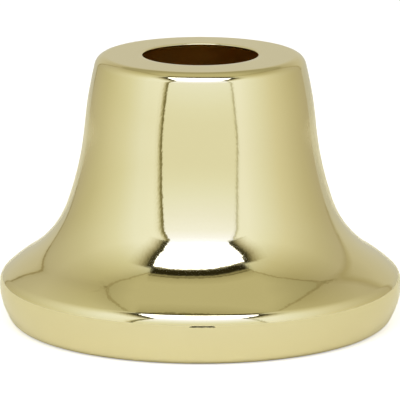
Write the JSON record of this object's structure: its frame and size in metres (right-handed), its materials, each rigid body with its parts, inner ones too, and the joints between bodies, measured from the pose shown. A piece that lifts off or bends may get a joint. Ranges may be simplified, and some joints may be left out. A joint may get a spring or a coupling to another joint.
{
  "type": "lamp neck",
  "caption": "Bell-shaped polished brass lamp neck with a round hole in its flat top, a hollow-sided neck and a wide rounded flange.",
  "frame": {"origin": "on the bell's axis, in the plane that its foot rests on", "axes": "+Z along the bell's axis, up through the hole in its flat top; +X and +Y are free, because the bell is round"},
  "size_m": [0.0554, 0.0554, 0.0374],
  "materials": {
    "brass_sheet": "polished and clear-lacquered outside, duller and browner inside"
  },
  "bodies": {
    "root": {"neck_shell": "brass_sheet"}
  },
  "joints": []
}
